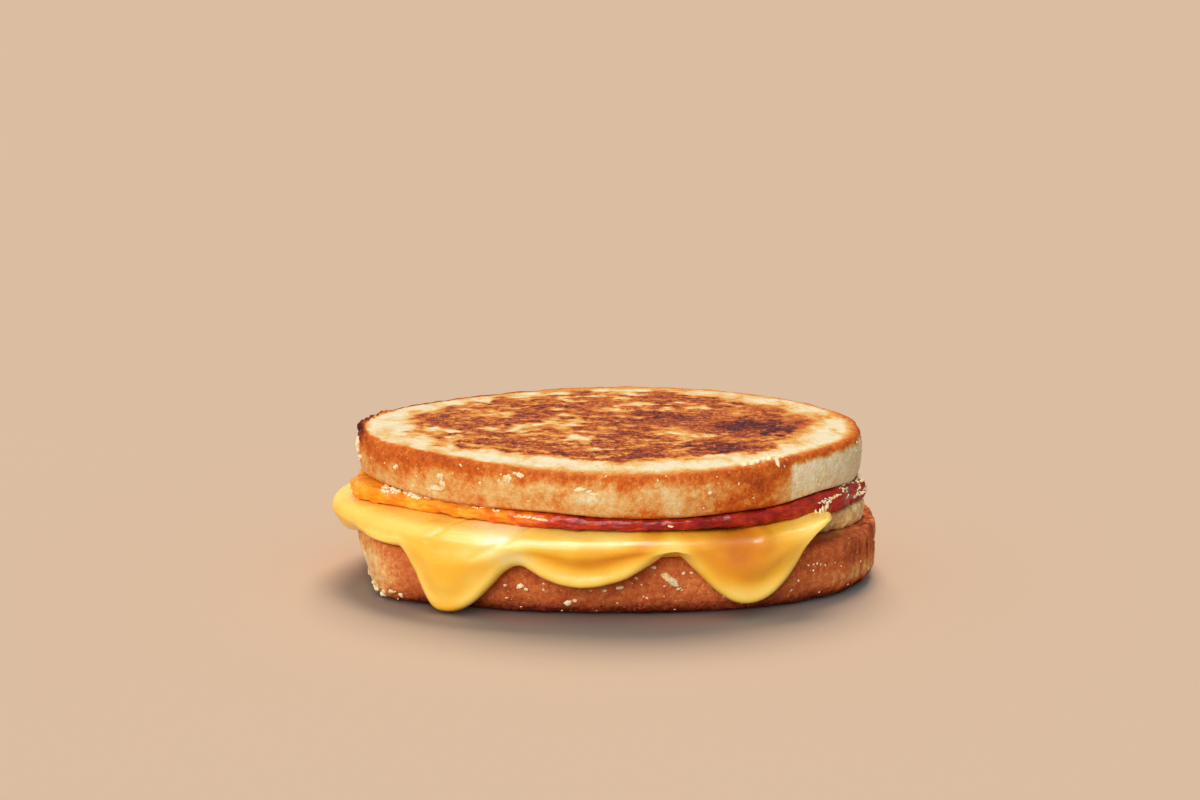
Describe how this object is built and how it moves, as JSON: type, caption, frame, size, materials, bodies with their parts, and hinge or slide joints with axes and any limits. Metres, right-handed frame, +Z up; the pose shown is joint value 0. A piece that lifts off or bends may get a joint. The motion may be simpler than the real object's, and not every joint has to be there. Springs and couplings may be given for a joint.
{
  "type": "grilled cheese sandwich",
  "caption": "Grilled cheese sandwich of toasted oval bread slices, a pale middle layer, melted cheese that drips over the edge and a thin tomato layer.",
  "frame": {"origin": "middle of the sandwich's box, on the surface that it lies on", "axes": "+X along the slices' length, -Y towards the side with the three cheese drips, +Z up through the stack"},
  "size_m": [0.1626, 0.1064, 0.045],
  "materials": {
    "toasted_bread_bottom": "toasted crust, reddish brown, darker towards the foot, matt and grainy",
    "pale_filling": "pale tan, soft and slightly waxy",
    "melted_cheese": "melted yellow cheese, smooth, glossy and slightly translucent",
    "tomato_filling": "moist orange to deep red, lumpy and glossy",
    "toasted_bread_top": "pan-toasted face with scorched streaks, golden ring and tan side crust"
  },
  "bodies": {
    "root": {"bottom_slice": "toasted_bread_bottom", "middle_layer": "pale_filling", "melted_cheese": "melted_cheese", "tomato_layer": "tomato_filling", "top_slice": "toasted_bread_top"}
  },
  "joints": []
}
